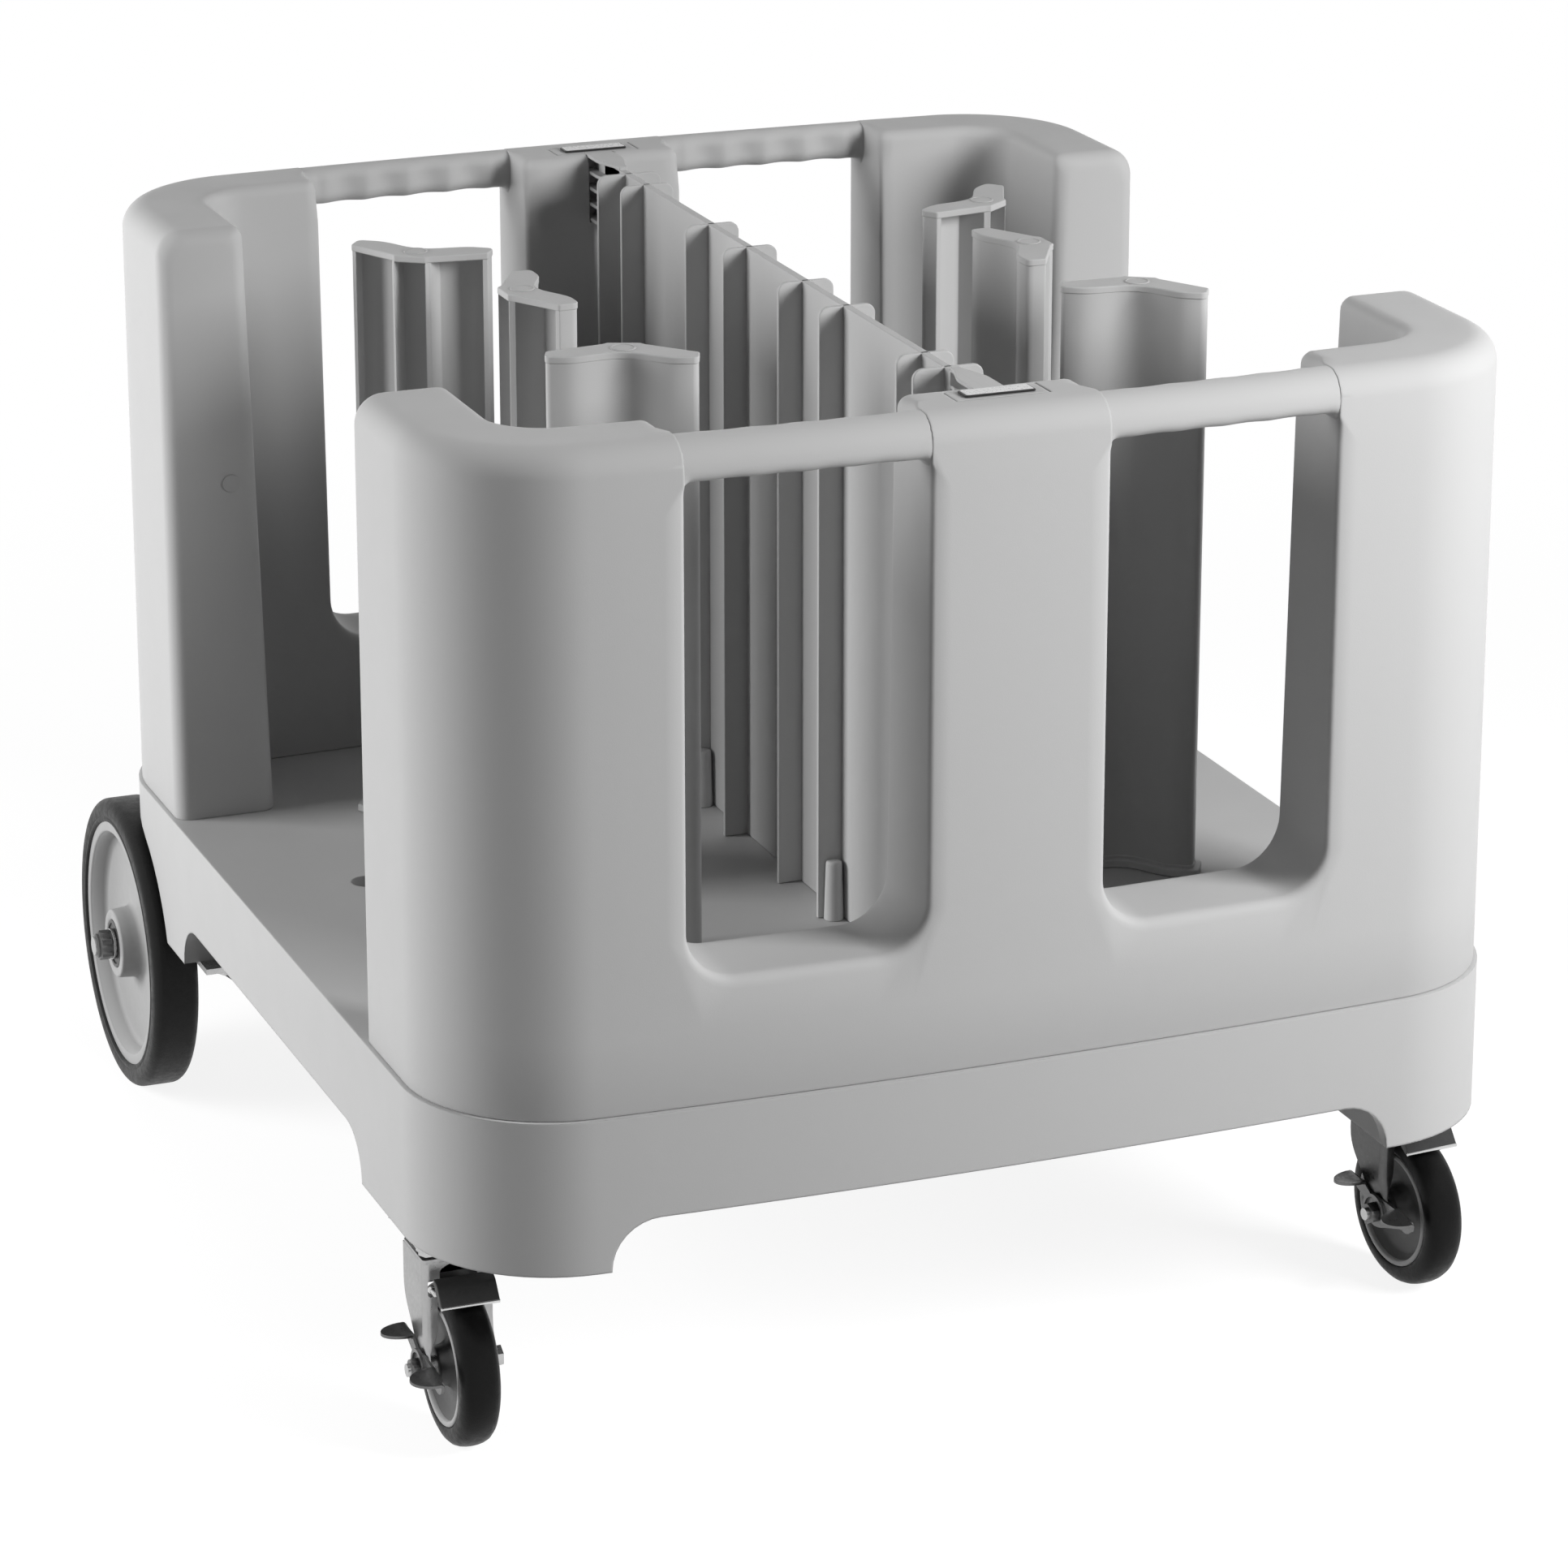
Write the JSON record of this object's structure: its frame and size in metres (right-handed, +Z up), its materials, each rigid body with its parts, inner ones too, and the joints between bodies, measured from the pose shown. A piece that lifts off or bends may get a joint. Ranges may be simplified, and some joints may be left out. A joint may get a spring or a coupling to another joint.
{
  "type": "plate dispenser cart",
  "caption": "Open-sided plate cart with C-shaped handled end panels, a ribbed centre divider, lift-out plate dividers, large rear wheels and braked swivel castors.",
  "frame": {"origin": "on the floor under the middle of the whole outline, rear wheels included", "axes": "+X to the right seen from the castor end, +Y from the castors towards the large rear wheels, +Z up"},
  "size_m": [0.944, 1.046, 0.8003],
  "materials": {
    "moulding": "fine-grained satin light grey moulding",
    "trim": "smooth pale plastic",
    "hub_plastic": "smooth light grey wheel centre",
    "tyre_rubber": "smooth black rubber",
    "core_plastic": "dark grey castor wheel centre",
    "zinc_steel": "bright zinc plate",
    "dark_steel": "black painted or oiled steel"
  },
  "bodies": {
    "cart_body": {"base_deck": "moulding", "deck_pins": "zinc_steel", "front_end_panel": "moulding", "rear_end_panel": "moulding", "front_panel_bolts": "zinc_steel", "rear_panel_bolts": "zinc_steel", "front_vent_plugs": "trim", "rear_vent_plugs": "trim", "rear_axle": "zinc_steel", "left_axle_bracket": "zinc_steel", "right_axle_bracket": "zinc_steel", "axle_bracket_bolts": "zinc_steel", "left_axle_spacer": "zinc_steel", "right_axle_spacer": "zinc_steel", "left_axle_washers": "zinc_steel", "right_axle_washers": "zinc_steel", "left_axle_nut": "zinc_steel", "right_axle_nut": "zinc_steel", "left_castor_plate": "zinc_steel", "left_castor_bolts": "zinc_steel", "left_castor_kingpin": "dark_steel", "left_castor_balls": "dark_steel", "right_castor_plate": "zinc_steel", "right_castor_bolts": "zinc_steel", "right_castor_kingpin": "dark_steel", "right_castor_balls": "dark_steel"},
    "divider_wall": {"center_divider": "moulding", "front_badge_plate": "trim", "rear_badge_plate": "trim"},
    "left_rear_column": {"left_rear_plate_divider": "moulding"},
    "left_middle_column": {"left_middle_plate_divider": "moulding"},
    "left_front_column": {"left_front_plate_divider": "moulding"},
    "right_rear_column": {"right_rear_plate_divider": "moulding"},
    "right_middle_column": {"right_middle_plate_divider": "moulding"},
    "right_front_column": {"right_front_plate_divider": "moulding"},
    "left_rear_wheel": {"left_wheel_hub": "hub_plastic", "left_wheel_tyre": "tyre_rubber", "left_wheel_bearings": "zinc_steel"},
    "left_castor_swivel": {"left_castor_fork": "zinc_steel", "left_castor_bush": "zinc_steel", "left_castor_axle_bolt": "zinc_steel", "left_castor_axle_nut": "zinc_steel"},
    "left_castor_wheel": {"left_castor_core": "core_plastic", "left_castor_tyre": "tyre_rubber"},
    "left_brake_pedal": {"left_brake_lever": "dark_steel"},
    "left_brake_pad": {"left_brake_shoe": "zinc_steel"},
    "right_rear_wheel": {"right_wheel_hub": "hub_plastic", "right_wheel_tyre": "tyre_rubber", "right_wheel_bearings": "zinc_steel"},
    "right_castor_swivel": {"right_castor_fork": "zinc_steel", "right_castor_bush": "zinc_steel", "right_castor_axle_bolt": "zinc_steel", "right_castor_axle_nut": "zinc_steel"},
    "right_castor_wheel": {"right_castor_core": "core_plastic", "right_castor_tyre": "tyre_rubber"},
    "right_brake_pedal": {"right_brake_lever": "dark_steel"},
    "right_brake_pad": {"right_brake_shoe": "zinc_steel"}
  },
  "joints": [
    {"name": "center_divider_lift", "type": "slide", "parent": "cart_body", "child": "divider_wall", "axis": [0, 0, 1], "range_m": [0, 0.52]},
    {"name": "left_rear_divider_lift", "type": "slide", "parent": "cart_body", "child": "left_rear_column", "axis": [0, 0, 1], "range_m": [0, 0.51]},
    {"name": "left_middle_divider_lift", "type": "slide", "parent": "cart_body", "child": "left_middle_column", "axis": [0, 0, 1], "range_m": [0, 0.51]},
    {"name": "left_front_divider_lift", "type": "slide", "parent": "cart_body", "child": "left_front_column", "axis": [0, 0, 1], "range_m": [0, 0.51]},
    {"name": "right_rear_divider_lift", "type": "slide", "parent": "cart_body", "child": "right_rear_column", "axis": [0, 0, 1], "range_m": [0, 0.51]},
    {"name": "right_middle_divider_lift", "type": "slide", "parent": "cart_body", "child": "right_middle_column", "axis": [0, 0, 1], "range_m": [0, 0.51]},
    {"name": "right_front_divider_lift", "type": "slide", "parent": "cart_body", "child": "right_front_column", "axis": [0, 0, 1], "range_m": [0, 0.51]},
    {"name": "left_rear_wheel_spin", "type": "hinge", "parent": "cart_body", "child": "left_rear_wheel", "pos_m": [-0.431, 0.396, 0.127], "axis": [1, 0, 0], "continuous": true},
    {"name": "left_castor_turn", "type": "hinge", "parent": "cart_body", "child": "left_castor_swivel", "pos_m": [-0.4, -0.375, 0.15], "axis": [0, 0, 1], "continuous": true},
    {"name": "left_castor_wheel_spin", "type": "hinge", "parent": "left_castor_swivel", "child": "left_castor_wheel", "pos_m": [-0.4, -0.397, 0.0635], "axis": [1, 0, 0], "continuous": true},
    {"name": "left_brake_pedal_rock", "type": "hinge", "parent": "left_castor_swivel", "child": "left_brake_pedal", "pos_m": [-0.4, -0.397, 0.0635], "axis": [1, 0, 0], "range_deg": [0, 12]},
    {"name": "left_brake_shoe_press", "type": "slide", "parent": "left_castor_swivel", "child": "left_brake_pad", "axis": [0, 0, -1], "range_m": [0, 0.003]},
    {"name": "right_rear_wheel_spin", "type": "hinge", "parent": "cart_body", "child": "right_rear_wheel", "pos_m": [0.431, 0.396, 0.127], "axis": [1, 0, 0], "continuous": true},
    {"name": "right_castor_turn", "type": "hinge", "parent": "cart_body", "child": "right_castor_swivel", "pos_m": [0.4, -0.375, 0.15], "axis": [0, 0, 1], "continuous": true},
    {"name": "right_castor_wheel_spin", "type": "hinge", "parent": "right_castor_swivel", "child": "right_castor_wheel", "pos_m": [0.40192, -0.39692, 0.0635], "axis": [0.9962, 0.0872, 0], "continuous": true},
    {"name": "right_brake_pedal_rock", "type": "hinge", "parent": "right_castor_swivel", "child": "right_brake_pedal", "pos_m": [0.40192, -0.39692, 0.0635], "axis": [0.9962, 0.0872, 0], "range_deg": [0, 12]},
    {"name": "right_brake_shoe_press", "type": "slide", "parent": "right_castor_swivel", "child": "right_brake_pad", "axis": [0, 0, -1], "range_m": [0, 0.003]}
  ],
  "couplings": [
    {"joint": "left_brake_shoe_press", "follows": "left_brake_pedal_rock", "m_per_rad": 0.01432},
    {"joint": "right_brake_shoe_press", "follows": "right_brake_pedal_rock", "m_per_rad": 0.01432}
  ]
}
